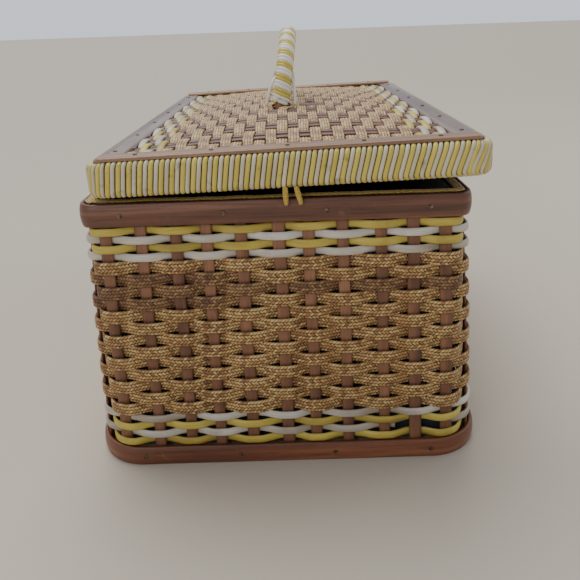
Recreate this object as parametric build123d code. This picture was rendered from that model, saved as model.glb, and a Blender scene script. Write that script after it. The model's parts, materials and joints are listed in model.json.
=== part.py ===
"""Sewing basket: a woven cane body with a domed, hinged lid and an arched carrying handle.

Frame: the base board's underside is the plane z = 0 and its centre is the origin. X runs along the
short end, Y along the length and Z up. The near end is the -Y end. The lid is hinged on the -X side.
Everything is in millimetres.
"""

from build123d import *
import math
import os

# ---- Body ----
BODY_W = 236.0  # over the top band, across the short end
BODY_L = 368.0  # over the top band, along the length
BODY_H = 174.0  # underside of the base to the top of the top band
FLARE = 9.0  # how much further out each wall stands at the bottom than at the top
RACK = -2.5  # the hand-made body's sideways lean, from bottom to top
CORNER_TOP = 10.0  # outside corner radius at the top
CORNER_BOTTOM = 34.0  # outside corner radius at the bottom
SHARPEST_CORNER = 1.0

BAND_T = 3.0  # thickness of the outer rim strips
TOP_BAND_H = 14.2
BOTTOM_BAND_H = 12.5
BAND_CROWN = 1.2  # rounding of the strips' long edges
INNER_BAND_T = 2.4
INNER_BAND_H = 11.0
BOARD_T = 8.0

# ---- Weave of the body ----
STAKE_W = 7.5  # half-round upright canes
STAKE_T = 2.8
STAKE_PITCH_END = 20.4
STAKE_PITCH_SIDE = 21.0
STAKES_PER_END = 11
STAKES_PER_SIDE = 17
STAKE_SPREAD = 1.014  # spacing of the stakes' feet, over that of their heads
STAKE_INSET = BAND_T + 0.5  # outer face of the stakes, in from the band's face
STAKE_LOW, STAKE_HIGH = 0.6, 172.5
WEAVER_INSET = 0.4
WEAVER_T = 2.6
CANE_H = 5.2
CANE_PITCH = 5.4
BRAID_H = 7.6
BRAID_PITCH = 7.93
CANES_EACH_END = 4  # cane rows above the braids, and again below them
BRAID_ROWS = 13
FIRST_ROW_Z = 156.2  # centre of the top cane row

# ---- Lining of the body ----
LINING_INSET = 10.4
LINING_T = 1.2
LINING_TOP = 173.0
LINING_CORNER = 5.0
FLOOR_PAD_T = 2.4
TRIM_T = 2.2  # gimp braid round the inside of the rim
TRIM_H = 7.0
TRIM_RISE = 1.2  # how far the gimp stands above the band

# ---- Lid ----
LID_W = 238.6
LID_L = 376.0
LID_X = 8.8  # the lid sits this far towards +X of the body's mouth
LID_Y = -0.8
LID_TILT = 1.65  # degrees that the +X side stands up at rest
LID_TOP = 202.8  # height of the rim's top face at the lid's centre
LID_CORNER = 13.0
RIM_H = 21.4  # wrapped rim, top face to bottom edge
RIM_TOP = -2.5  # top of the wrapping, below the lid's top face
WRAP_T = 1.6
RIM_T = 8.8  # wrapped rim, outer face to inner face
STRIP_W = 15.0
STRIP_T = 2.4
END_STRIP_T = 2.0
STRIP_SETBACK = 3.6  # strip's outer edge, in from the rim's face
END_STRIP_CUT = 7.0  # how far the end strips stop short of the rim's sides
NAIL_HEAD_R = 1.3
NAIL_HEAD_T = 0.5
NAIL_SHANK_R = 0.6
NAIL_SHANK_L = 2.2

# ---- Weave of the lid ----
DOME = 13.0  # rise of the weave at the middle of the lid
LID_STAKE_PAIRS = 15
LID_STAKE_W = 7.4
LID_STAKE_T = 2.6
LID_CANE_COLUMNS = 4  # cane columns beside each side strip
LID_CANE_PITCH = 5.5
LID_CANE_W = 5.0
LID_BRAID_COLUMNS = 22
LID_BRAID_W = 6.7
LID_COLUMN_T = 2.2
LID_GAP = 1.2  # between stakes and columns, which tilt with the dome
LEG_HOLE_R = 8.2

# ---- Lid lining ----
LID_LINING_T = 2.4
LID_LINING_TOP = -6.6
LID_LINING_GAP = 0.6
TAIL_R = 1.7  # the gimp's two hanging ends
TAIL_L = 10.5
TAILS = ((4.0, 0), (10.5, 14))  # where each hangs along X, and its lean in degrees

# ---- Handle ----
HANDLE_R = 51.0  # centreline of the arch
HANDLE_X = -4.5  # the handle stands this far from the lid's centre line
HANDLE_CORE_R = 4.6
HANDLE_WRAP_R = 6.6
HANDLE_LEAN = 10.3  # degrees towards +X of the lid's own upright at rest
HANDLE_TAIL = 9.0  # leg below the weave
LASHING_R = 1.1
LASHING_RISE = 18.0
LASHING_SPREAD = 10.4
LASHING_FOOT = 3.0  # height of the lashing's ends above the weave

# ---- Hinge ----
HINGE_Y = (-94.5, 94.5)
PIVOT_INSET = 4.6
PIVOT_RISE = 3.0  # pivot above the top band
STAPLE_WIRE_R = 0.9
STAPLE_R = 4.2
STAPLE_LEG = 7.0
EYE_WIRE_R = 0.8
EYE_R = 2.0
EYE_GRIP = 0.8  # how far the eye's ends go into the wrapping
EYE_ON_RIM = 3.2  # where the eye meets the rim, above its bottom edge

SMALL = 0.3


# ---------------------------------------------------------------- shared shapes
def outline(z, inset):
    """Width, length and corner radius of the wall's plan at height z, inset from its outer face."""
    down = 1 - z / BODY_H
    width = BODY_W + 2 * FLARE * down - 2 * inset
    length = BODY_L + 2 * FLARE * down - 2 * inset
    corner = CORNER_TOP + (CORNER_BOTTOM - CORNER_TOP) * down - inset
    return width, length, max(corner, SHARPEST_CORNER)


def plate(z_low, z_high, inset, rounding=0.0):
    """A flat plate of the wall's plan, its long edges rounded."""
    middle = (z_low + z_high) / 2
    width, length, corner = outline(middle, inset)
    solid = extrude(RectangleRounded(width, length, corner), z_high - z_low)
    if rounding:
        solid = fillet(solid.edges().filter_by(Plane.XY), rounding)
    return Pos(RACK * middle / BODY_H, 0, z_low) * solid


def ring(z_low, z_high, outer_inset, inner_inset, rounding=0.0):
    """A band that follows the wall's plan."""
    return plate(z_low, z_high, outer_inset, rounding) - plate(z_low, z_high, inner_inset)


SIDE_TURN = {"near": 0, "right": 90, "far": 180, "left": 270}


def wall_point(side, along, z, inset):
    """A point on the wall's plan, and the turn of the wall's tangent there from +X, in degrees."""
    width, length, corner = outline(z, inset)
    across, depth = (width, length) if side in ("near", "far") else (length, width)
    past = abs(along) - (across / 2 - corner)
    recess, turn = 0.0, 0.0
    if past > 0:
        recess = corner - math.sqrt(corner**2 - past**2)
        turn = math.copysign(math.degrees(math.asin(past / corner)), along)
    point = Vector(along, recess - depth / 2, z).rotate(Axis.Z, SIDE_TURN[side])
    return point + Vector(RACK * z / BODY_H, 0, 0), turn + SIDE_TURN[side]


def stake(side, along):
    """One half-round upright, flat side in, from the base to just under the rim's top."""
    foot, low_turn = wall_point(side, along * STAKE_SPREAD, STAKE_LOW, STAKE_INSET)
    head, high_turn = wall_point(side, along, STAKE_HIGH, STAKE_INSET)
    turn = math.radians((low_turn + high_turn) / 2)
    tangent = Vector(math.cos(turn), math.sin(turn), 0)
    run = head - foot
    section = make_face(
        [
            ThreePointArc((-STAKE_W / 2, STAKE_T), (0, 0), (STAKE_W / 2, STAKE_T)),
            Line((STAKE_W / 2, STAKE_T), (-STAKE_W / 2, STAKE_T)),
        ]
    )
    return extrude(Plane(origin=foot, x_dir=tangent, z_dir=run) * section, run.length)


def stakes(side):
    """All the uprights of one wall."""
    on_end = side in ("near", "far")
    count = STAKES_PER_END if on_end else STAKES_PER_SIDE
    pitch = STAKE_PITCH_END if on_end else STAKE_PITCH_SIDE
    middle = (count - 1) / 2
    return Compound(children=[stake(side, (i - middle) * pitch) for i in range(count)])


def nail_places(z, per_end, per_side):
    """Where nails go round the wall: (side, along)."""
    places = []
    for side in SIDE_TURN:
        on_end = side in ("near", "far")
        count = per_end if on_end else per_side
        span = (BODY_W if on_end else BODY_L) * 0.78
        for i in range(count):
            places.append((side, span * (i / (count - 1) - 0.5)))
    return places


def nail(side, along, z, shank_r=NAIL_SHANK_R):
    """A small round-headed nail, its head on the band's outer face."""
    middle = BOTTOM_BAND_H / 2 if z < BODY_H / 2 else BODY_H - TOP_BAND_H / 2
    face, turn = wall_point(side, along, middle, 0.0)
    head = Cylinder(NAIL_HEAD_R, NAIL_HEAD_T, align=(Align.CENTER, Align.CENTER, Align.MIN))
    shank = Cylinder(shank_r, NAIL_SHANK_L, align=(Align.CENTER, Align.CENTER, Align.MAX))
    return Pos(face.X, face.Y, z) * Rot(0, 0, turn) * Rot(90, 0, 0) * (head + shank)


# ---------------------------------------------------------------- body
def base_board():
    return plate(0, BOARD_T, STAKE_INSET + STAKE_T + 3 * SMALL)


def bands():
    """Nailed rim strips: the bottom one, and the top one's outer and inner strips."""
    low_nails = [(side, along, BOTTOM_BAND_H * 0.5) for side, along in nail_places(0, 4, 6)]
    top_z = BODY_H - TOP_BAND_H * 0.5
    high_nails = [(side, along, top_z) for side, along in nail_places(BODY_H, 4, 6)]
    bottom = ring(0, BOTTOM_BAND_H, 0, BAND_T, BAND_CROWN)
    top = ring(BODY_H - TOP_BAND_H, BODY_H, 0, BAND_T, BAND_CROWN)
    for place in low_nails:
        bottom -= nail(*place)
    for place in high_nails:
        top -= nail(*place)
    inner_inset = STAKE_INSET + STAKE_T + 3 * SMALL
    inner = ring(BODY_H - INNER_BAND_H - 1, BODY_H - 1, inner_inset, inner_inset + INNER_BAND_T)
    return {
        "bottom_band": bottom,
        "top_band_outer": top,
        "top_band_inner": inner,
        "bottom_band_nails": Compound(children=[nail(*place) for place in low_nails]),
        "top_band_nails": Compound(children=[nail(*place) for place in high_nails]),
    }


def weaver_rows():
    """(name, centre height, height) of every horizontal row, from the top down."""
    rows = []
    z = FIRST_ROW_Z
    total = 2 * CANES_EACH_END + BRAID_ROWS
    for i in range(total):
        from_end = min(i, total - 1 - i)
        braid = from_end >= CANES_EACH_END
        # Yellow and white canes take turns, yellow first at the top and last at the bottom.
        kind = "braid" if braid else ("yellow", "white")[from_end % 2]
        rows.append((f"weaver_{i + 1:02d}_{kind}", z, BRAID_H if braid else CANE_H))
        next_braid = CANES_EACH_END <= i + 1 < CANES_EACH_END + BRAID_ROWS
        pitches = [BRAID_PITCH if b else CANE_PITCH for b in (braid, next_braid)]
        z -= sum(pitches) / 2
    return rows


def weavers():
    made = {}
    for name, z, height in weaver_rows():
        inner = WEAVER_INSET + WEAVER_T
        made[name] = ring(z - height / 2, z + height / 2, WEAVER_INSET, inner, WEAVER_T * 0.4)
    return made


def loft_plate(z_low, z_high, inset):
    """A plate of the wall's plan that follows the flare, with the lining's own corners."""
    faces = []
    for z in (z_low, z_high):
        width, length, corner = outline(z, inset)
        corner = max(corner, LINING_CORNER)
        faces.append(Pos(RACK * z / BODY_H, 0, z) * RectangleRounded(width, length, corner))
    return loft(faces)


def lining():
    """Cloth on thin card inside the walls, the covered floor, and the gimp round the mouth."""
    low = BOARD_T + SMALL
    walls = loft_plate(low, LINING_TOP, LINING_INSET)
    walls -= loft_plate(low, LINING_TOP, LINING_INSET + LINING_T)
    pad_inset = LINING_INSET + LINING_T + SMALL
    pad = plate(low, low + FLOOR_PAD_T, pad_inset)
    trim_top = BODY_H + TRIM_RISE
    width, length, _ = outline(BODY_H, LINING_INSET + LINING_T + SMALL)
    outer = extrude(RectangleRounded(width, length, LINING_CORNER), TRIM_H)
    inner = extrude(
        RectangleRounded(width - 2 * TRIM_T, length - 2 * TRIM_T, LINING_CORNER - TRIM_T), TRIM_H
    )
    trim = Pos(RACK, 0, trim_top - TRIM_H) * (outer - inner)
    return {"lining_walls": walls, "lining_floor": pad, "lining_trim": trim}


# ---------------------------------------------------------------- hinge
def pivot():
    """The hinge's axis, as (x, z)."""
    return RACK - BODY_W / 2 + PIVOT_INSET, BODY_H + PIVOT_RISE


def round_wire(path, radius):
    """Round wire along a path."""
    return sweep(Plane(origin=path @ 0, z_dir=path % 0) * Circle(radius), path)


def staple(y):
    """A wire staple standing up between the rim strips, its top bend on the hinge's axis."""
    x, z = pivot()
    upright = Plane(origin=(x, y, z - STAPLE_R), x_dir=(0, 1, 0), z_dir=(1, 0, 0))
    bend = CenterArc((0, 0), STAPLE_R, 0, 180)
    legs = [
        Line((STAPLE_R, -STAPLE_LEG), (STAPLE_R, 0)),
        Line((-STAPLE_R, 0), (-STAPLE_R, -STAPLE_LEG)),
    ]
    return round_wire(upright * Wire([legs[0], bend, legs[1]]), STAPLE_WIRE_R)


def eye(y):
    """A wire eye from the lid's rim round the staple's bend."""
    x, z = pivot()
    edge_x, edge_z = lid_edge()
    reach = Vector(edge_x - x, 0, edge_z + EYE_ON_RIM - z)
    plane = Plane(origin=(x, y, z), x_dir=reach, z_dir=(0, -1, 0))
    bend = CenterArc((0, 0), EYE_R, 90, 180)
    end = reach.length + EYE_GRIP
    upper = Line((end, EYE_R), (0, EYE_R))
    lower = Line((0, -EYE_R), (end, -EYE_R))
    return round_wire(plane * Wire([upper, bend, lower]), EYE_WIRE_R)


# ---------------------------------------------------------------- lid
def lid_place():
    """The lid's own frame: its top face's centre, tilted about the length."""
    return Pos(RACK + LID_X, LID_Y, LID_TOP) * Rot(0, -LID_TILT, 0)


def lid_edge():
    """The rim's bottom edge on the hinge side, as (x, z)."""
    edge = lid_place() * Pos(-LID_W / 2, 0, -RIM_H)
    return edge.position.X, edge.position.Z


def lid_ring(w_low, w_high, outer_inset, inner_inset, rounding=0.0):
    """A ring that follows the lid's plan, in the lid's own frame."""
    height = w_high - w_low
    shapes = []
    for inset, edge in ((outer_inset, rounding), (inner_inset, 0.0)):
        corner = max(LID_CORNER - inset, SHARPEST_CORNER)
        solid = extrude(RectangleRounded(LID_W - 2 * inset, LID_L - 2 * inset, corner), height)
        if edge:
            solid = fillet(solid.edges().filter_by(Plane.XY), edge)
        shapes.append(Pos(0, 0, w_low) * solid)
    return shapes[0] - shapes[1]


def lid_rim():
    """The bent wooden hoop, and the two-colour cord wound round it as one sleeve."""
    hoop_low, hoop_high = -RIM_H + WRAP_T, RIM_TOP - WRAP_T
    hoop = lid_ring(hoop_low, hoop_high, WRAP_T, RIM_T - WRAP_T)
    sleeve = lid_ring(-RIM_H, RIM_TOP, 0, RIM_T, WRAP_T)
    return hoop, sleeve - hoop


def strip(width, length, thickness, cut):
    """A flat strip with a crowned top and cut corners, lying along Y."""
    solid = extrude(RectangleRounded(width, length, cut), thickness)
    top = solid.edges().group_by(Axis.Z)[-1]
    return fillet(top, thickness * 0.45)


def lid_strips():
    side_length = LID_L - 2 * LID_CORNER
    side = strip(STRIP_W, side_length, STRIP_T, 2.0)
    x = LID_W / 2 - STRIP_W / 2 - STRIP_SETBACK
    end = strip(STRIP_W, LID_W - 2 * END_STRIP_CUT, END_STRIP_T, 5.0)
    y = LID_L / 2 - STRIP_W / 2 - STRIP_SETBACK
    return {
        "lid_strip_left": Pos(-x, 0, -STRIP_T) * side,
        "lid_strip_right": Pos(x, 0, -STRIP_T) * side,
        "lid_strip_near": Pos(0, -y, SMALL / 3) * Rot(0, 0, 90) * end,
        "lid_strip_far": Pos(0, y, SMALL / 3) * Rot(0, 0, 90) * end,
    }


def strip_nails():
    """Nail heads along the four strips."""
    heads = []
    head = Cylinder(NAIL_HEAD_R, NAIL_HEAD_T, align=(Align.CENTER, Align.CENTER, Align.MIN))
    side_x = LID_W / 2 - STRIP_W / 2 - STRIP_SETBACK
    side_count, end_count = 6, 5
    for i in range(side_count):
        y = (LID_L - 5 * STRIP_W) * (i / (side_count - 1) - 0.5)
        heads += [Pos(side * side_x, y, 0) * head for side in (-1, 1)]
    end_y = LID_L / 2 - STRIP_W / 2 - STRIP_SETBACK
    for i in range(end_count):
        x = (LID_W - 4 * STRIP_W) * (i / (end_count - 1) - 0.5)
        heads += [Pos(x, side * end_y, SMALL / 3 + END_STRIP_T) * head for side in (-1, 1)]
    return Compound(children=heads)


def weave_field():
    """Half width and half length of the woven field inside the strips."""
    edge = STRIP_SETBACK + STRIP_W
    return LID_W / 2 - edge, LID_L / 2 - edge


def bowed_bar(half, end, low, rise, thickness, width):
    """A flat bar along X with level ends, bowed up by rise between -half and half."""
    high = low + thickness
    if rise < SMALL:
        return Pos(0, 0, low + thickness / 2) * Box(2 * end, width, thickness)
    face = make_face(
        [
            Line((-end, low), (-half, low)),
            ThreePointArc((-half, low), (0, low + rise), (half, low)),
            Line((half, low), (end, low)),
            Line((end, low), (end, high)),
            Line((end, high), (half, high)),
            ThreePointArc((half, high), (0, high + rise), (-half, high)),
            Line((-half, high), (-end, high)),
            Line((-end, high), (-end, low)),
        ]
    )
    return extrude(Plane.XZ * face, width / 2, both=True)


def dome_share(at, half):
    """How much of the dome's rise is left at a distance from its middle."""
    return max(0.0, 1 - (at / half) ** 2)


def leg_holes():
    hole = Cylinder(LEG_HOLE_R, 60)
    return [Pos(HANDLE_X, side * HANDLE_R, DOME) * hole for side in (-1, 1)]


def lid_stakes():
    """Pairs of flat canes across the lid, under the columns."""
    half_x, half_y = weave_field()
    pitch = 2 * half_y / LID_STAKE_PAIRS
    low = -STRIP_T - LID_GAP - LID_STAKE_T
    bars = []
    for i in range(LID_STAKE_PAIRS):
        for step in (-0.5, 0.5):
            y = (i - (LID_STAKE_PAIRS - 1) / 2) * pitch + step * (LID_STAKE_W + SMALL)
            rise = DOME * dome_share(y, half_y)
            bar = bowed_bar(half_x, LID_W / 2 - RIM_T - SMALL, low, rise, LID_STAKE_T, LID_STAKE_W)
            bar = Pos(0, y, 0) * bar
            if abs(abs(y) - HANDLE_R) < LEG_HOLE_R + LID_STAKE_W:
                bar -= leg_holes()
            bars += bar.solids()
    return Compound(children=bars)


def lid_columns():
    """Canes and braids along the lid, over the stakes: {kind: [(x, width)]}."""
    half_x, _ = weave_field()
    kinds = {"yellow": [], "white": [], "braid": []}
    for i in range(LID_CANE_COLUMNS):
        x = half_x - LID_CANE_PITCH * (i + 0.5)
        kind = ("white", "yellow")[i % 2]
        kinds[kind] += [(-x, LID_CANE_W), (x, LID_CANE_W)]
    span = 2 * (half_x - LID_CANE_PITCH * LID_CANE_COLUMNS)
    pitch = span / LID_BRAID_COLUMNS
    for i in range(LID_BRAID_COLUMNS):
        kinds["braid"].append(((i + 0.5) * pitch - span / 2, LID_BRAID_W))
    return kinds


def lid_weave():
    """The column nodes of the lid's weave."""
    half_x, half_y = weave_field()
    made = {}
    names = {"yellow": "lid_canes_yellow", "white": "lid_canes_white", "braid": "lid_braids"}
    for kind, columns in lid_columns().items():
        bars = []
        for x, width in columns:
            rise = DOME * dome_share(x, half_x)
            bar = bowed_bar(half_y, LID_L / 2 - WRAP_T, -STRIP_T, rise, LID_COLUMN_T, width)
            bar = Pos(x, 0, 0) * Rot(0, 0, 90) * bar
            if abs(x - HANDLE_X) < LEG_HOLE_R + LID_BRAID_W:
                bar -= leg_holes()
            bars += bar.solids()
        made[names[kind]] = Compound(children=bars)
    return made


def lid_lining():
    """The covered card under the weave, and the gimp round the rim's inner lower edge."""
    inset = RIM_T + LID_LINING_GAP
    corner = max(LID_CORNER - inset, LINING_CORNER)
    card = extrude(RectangleRounded(LID_W - 2 * inset, LID_L - 2 * inset, corner), LID_LINING_T)
    card = Pos(0, 0, LID_LINING_TOP - LID_LINING_T) * card
    trim = lid_ring(-RIM_H + 0.5, -RIM_H + 0.5 + TRIM_H, RIM_T + SMALL, RIM_T + SMALL + TRIM_T)
    return card, trim


def trim_tails():
    """The two short plaited ends of the gimp, hanging at the middle of the near end."""
    y = -BODY_L / 2 - TAIL_R - 2 * SMALL
    tails = []
    for x, lean in TAILS:
        rod = Cylinder(TAIL_R, TAIL_L, align=(Align.CENTER, Align.CENTER, Align.MAX))
        ends = rod.edges().filter_by(GeomType.CIRCLE)
        rod = fillet(ends, TAIL_R * 0.6)
        tails.append(Pos(x, y, LID_TOP - RIM_H - SMALL) * Rot(0, -lean, 0) * rod)
    return Compound(children=tails)


# ---------------------------------------------------------------- handle
def handle_place():
    """The handle's own frame: the middle of its base on the domed weave, leaning towards +X."""
    height = DOME * dome_share(HANDLE_R, weave_field()[1])
    return lid_place() * Pos(HANDLE_X, 0, height) * Rot(0, HANDLE_LEAN, 0)


def handle():
    """A round cane arch with legs through the weave, and the flat cane wound round it."""
    arch = CenterArc((0, 0), HANDLE_R, 0, 180)
    foot = Line((HANDLE_R, -HANDLE_TAIL), (HANDLE_R, 0))
    heel = Line((-HANDLE_R, 0), (-HANDLE_R, -HANDLE_TAIL))
    whole = Plane.YZ * Wire([foot, arch, heel])
    upper = Plane.YZ * Wire([arch])
    core = round_wire(whole, HANDLE_CORE_R)
    wrap = round_wire(upper, HANDLE_WRAP_R) - round_wire(upper, HANDLE_CORE_R)
    return core, wrap


def lashing(side):
    """The white cord over one leg: up from the weave, round the leg and down again."""
    clear = HANDLE_WRAP_R + LASHING_R + 2 * SMALL
    leg_y = side * HANDLE_R
    top_y = leg_y - side * (HANDLE_R - math.sqrt(HANDLE_R**2 - LASHING_RISE**2))
    out = top_y + side * clear
    points = [
        (-LASHING_SPREAD, leg_y, LASHING_FOOT),
        (-clear, top_y, LASHING_RISE - 3),
        (-clear, out, LASHING_RISE + 2),
        (clear, out, LASHING_RISE + 2),
        (clear, top_y, LASHING_RISE - 3),
        (LASHING_SPREAD, leg_y, LASHING_FOOT),
    ]
    return round_wire(FilletPolyline(*points, radius=2.6), LASHING_R)


# ---------------------------------------------------------------- assembly
def assemble():
    parts = {"base_board": base_board()}
    parts.update(bands())
    for side, name in (
        ("near", "stakes_near_end"),
        ("far", "stakes_far_end"),
        ("left", "stakes_left_side"),
        ("right", "stakes_right_side"),
    ):
        parts[name] = stakes(side)
    parts.update(weavers())
    parts.update(lining())
    parts["hinge_staples"] = Compound(children=[staple(y) for y in HINGE_Y])
    parts["hinge_eyes"] = Compound(children=[eye(y) for y in HINGE_Y])

    hoop, sleeve = lid_rim()
    card, trim = lid_lining()
    lid = {"lid_rim_hoop": hoop, "lid_rim_wrap": sleeve, "lid_lining": card, "lid_trim": trim}
    lid.update(lid_strips())
    lid["lid_strip_nails"] = strip_nails()
    lid["lid_stakes"] = lid_stakes()
    lid.update(lid_weave())
    for name, shape in lid.items():
        parts[name] = lid_place() * shape
    parts["trim_tails"] = trim_tails()

    core, wrap = handle()
    for name, shape in {
        "handle_core": core,
        "handle_wrap": wrap,
        "lashing_near": lashing(-1),
        "lashing_far": lashing(1),
    }.items():
        parts[name] = handle_place() * shape
    return parts


os.makedirs("parts", exist_ok=True)
for node, solid in assemble().items():
    export_step(solid, f"parts/{node}.step")
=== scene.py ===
import json
import math

import bpy
import numpy as np
from mathutils import Euler, Matrix, Vector


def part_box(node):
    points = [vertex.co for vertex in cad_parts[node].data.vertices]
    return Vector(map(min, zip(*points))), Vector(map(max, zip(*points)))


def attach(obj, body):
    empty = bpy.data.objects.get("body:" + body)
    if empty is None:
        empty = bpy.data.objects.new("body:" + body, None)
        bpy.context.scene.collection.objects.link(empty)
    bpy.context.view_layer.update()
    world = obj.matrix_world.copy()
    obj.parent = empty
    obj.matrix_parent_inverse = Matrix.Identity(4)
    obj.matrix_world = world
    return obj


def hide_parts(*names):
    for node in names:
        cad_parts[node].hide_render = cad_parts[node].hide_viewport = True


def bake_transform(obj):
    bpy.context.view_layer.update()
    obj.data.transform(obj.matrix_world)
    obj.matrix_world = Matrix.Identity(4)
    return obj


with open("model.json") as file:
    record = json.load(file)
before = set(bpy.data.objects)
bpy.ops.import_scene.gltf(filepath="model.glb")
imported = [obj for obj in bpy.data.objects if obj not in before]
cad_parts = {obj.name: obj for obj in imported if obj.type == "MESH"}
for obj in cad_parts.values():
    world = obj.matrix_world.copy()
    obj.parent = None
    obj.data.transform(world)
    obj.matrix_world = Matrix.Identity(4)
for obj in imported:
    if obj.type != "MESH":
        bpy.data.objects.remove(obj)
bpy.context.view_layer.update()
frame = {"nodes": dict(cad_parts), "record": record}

MM = 0.001

# ---- sizes shared with the CAD model, in metres ----
CORNER_TOP, CORNER_BOTTOM = 10 * MM, 34 * MM
END_PITCH, SIDE_PITCH = 20.4 * MM, 21.0 * MM
STAKES_PER_END, STAKES_PER_SIDE = 11, 17
STAKE_SPREAD = 1.014
STAKE_W, STAKE_T = 7.5 * MM, 2.0 * MM
BAND_T, BAND_CROWN = 3.0 * MM, 1.1 * MM
STAKE_MIDDLE = 4.9 * MM  # middle of the uprights, in from the band's face
RIM_T = 8.8 * MM
LID_CORNER = 13.0 * MM
STRIP_T = 2.4 * MM
LID_PAIRS, LID_BRAIDS, LID_CANES = 15, 22, 4
DOME = 13.0 * MM
HANDLE_R, HANDLE_TUBE = 51.0 * MM, 6.6 * MM
LINING_INSET = 10.7 * MM  # face of the wall lining, in from the band's face
MOUTH_GIMP_INSET = 6.9 * MM  # middle of the gimp that lies over the tops of the uprights

UP = np.array([0.0, 0.0, 1.0])

rng = np.random.default_rng(11)


# ---- mesh helpers ----
def in_scene(name, data):
    """A new object in the scene."""
    made = bpy.data.objects.new(name, data)
    bpy.context.scene.collection.objects.link(made)
    return made


def grid_mesh(name, grid, closed_run, path=None, groove=None, material=None):
    """A mesh of rings of points, each joined to the next: grid is (rings, points, 3)."""
    rings, points, _ = grid.shape
    ring_ids = np.arange(rings if closed_run else rings - 1)
    point_ids = np.arange(points)
    r, p = np.meshgrid(ring_ids, point_ids, indexing="ij")
    r2, p2 = (r + 1) % rings, (p + 1) % points
    quads = np.stack([r * points + p, r * points + p2, r2 * points + p2, r2 * points + p], -1)
    quads = quads.reshape(-1, 4)
    corners = quads.ravel()
    starts = np.arange(len(quads)) * 4
    if not closed_run:
        first = np.arange(points)[::-1]
        last = (rings - 1) * points + np.arange(points)
        starts = np.concatenate([starts, [len(corners), len(corners) + points]])
        corners = np.concatenate([corners, first, last])
    mesh = bpy.data.meshes.new(name)
    mesh.vertices.add(rings * points)
    mesh.vertices.foreach_set("co", grid.astype(np.float32).ravel())
    mesh.loops.add(len(corners))
    mesh.loops.foreach_set("vertex_index", corners.astype(np.int32))
    mesh.polygons.add(len(starts))
    mesh.polygons.foreach_set("loop_start", starts.astype(np.int32))
    mesh.update(calc_edges=True)
    mesh.validate()
    mesh.shade_smooth()
    if path is not None:
        mesh.attributes.new("path", "FLOAT_VECTOR", "POINT").data.foreach_set(
            "vector", path.astype(np.float32).ravel()
        )
    if groove is not None:
        mesh.attributes.new("groove", "FLOAT", "POINT").data.foreach_set(
            "value", groove.astype(np.float32).ravel()
        )
    if material is not None:
        mesh.materials.append(material)
    return in_scene(name, mesh)


def joined(name, pieces):
    """One piece made of several."""
    with bpy.context.temp_override(
        active_object=pieces[0], selected_editable_objects=pieces, object=pieces[0]
    ):
        bpy.ops.object.join()
    pieces[0].name = name
    return pieces[0]


def finish_piece(piece, body, slot_name, *nodes):
    """The piece rides on a body and stands for CAD nodes, which it hides; slot_name is not used."""
    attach(piece, body)
    if nodes:
        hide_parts(*nodes)
    return piece


def unit(vectors):
    return vectors / np.linalg.norm(vectors, axis=-1, keepdims=True)


def wander(count, waves, size, closed=True):
    """A slow random drift along a run of points, that closes on itself."""
    t = np.linspace(0, 2 * math.pi, count, endpoint=not closed)
    total = np.zeros(count)
    for k in range(1, waves + 1):
        total += rng.normal() * np.sin(k * t + rng.uniform(0, 2 * math.pi)) / math.sqrt(k)
    return size * total / max(1e-9, np.abs(total).max())


def rounded_rect(width, length, corner, step):
    """Points and outward normals round a rounded rectangle, anticlockwise from the far end's middle."""
    half_x, half_y = width / 2 - corner, length / 2 - corner
    centres = [(-half_x, half_y), (-half_x, -half_y), (half_x, -half_y), (half_x, half_y)]
    points, normals = [], []

    def straight(a, b, normal):
        count = max(2, int(np.hypot(*(np.subtract(b, a))) / step))
        for t in np.arange(count) / count:
            points.append(np.add(a, t * np.subtract(b, a)))
            normals.append(normal)

    start = (0.0, length / 2)
    at = start
    for k, centre in enumerate(centres):
        angle = math.pi / 2 * (k + 1)
        normal = (math.cos(angle), math.sin(angle))
        arc_start = np.add(centre, np.multiply(corner, normal))
        straight(at, arc_start, normal)
        count = max(4, int(corner * math.pi / 2 / step))
        for t in np.arange(count) / count:
            turn = angle + t * math.pi / 2
            outward = (math.cos(turn), math.sin(turn))
            points.append(np.add(centre, np.multiply(corner, outward)))
            normals.append(outward)
        turn = angle + math.pi / 2
        at = np.add(centre, np.multiply(corner, (math.cos(turn), math.sin(turn))))
    straight(at, start, (0.0, 1.0))
    return np.array(points), np.array(normals)


def distances(points, closed=True):
    """How far along the run each point is, and the whole length."""
    following = np.roll(points, -1, axis=0)
    steps = np.linalg.norm(following - points, axis=1)
    along = np.concatenate([[0], np.cumsum(steps)[:-1]])
    return along, (along[-1] + steps[-1]) if closed else along[-1]


def read_loop(values, at, places):
    """Values held at the points of a closed loop, read at other distances along it."""
    closed = np.vstack([values, values[:1]])
    return np.column_stack([np.interp(places, at, column) for column in closed.T])


def oval(points, half_w, half_t, squareness=0.8):
    """A flat rounded section: across and out at each of its points."""
    angle = np.arange(points) / points * 2 * math.pi
    across = np.sign(np.sin(angle)) * np.abs(np.sin(angle)) ** squareness * half_w
    out = np.sign(np.cos(angle)) * np.abs(np.cos(angle)) ** squareness * half_t
    return across, out


def scatter(ids):
    """A steady random share for each whole number."""
    return np.modf(np.abs(np.sin(ids * 12.9898 + 4.1) * 43758.5453))[0]


def plait_section(columns_front, columns_back):
    """Section of a flat braid: its face in fine steps, its back in coarse ones."""
    face = np.linspace(-1, 1, columns_front)
    back = np.linspace(1, -1, columns_back + 2)[1:-1]
    across = np.concatenate([face, back])
    thick = np.concatenate([(1 - np.abs(face) ** 4) ** 0.5, -((1 - np.abs(back) ** 4) ** 0.5)])
    return across, thick


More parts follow.
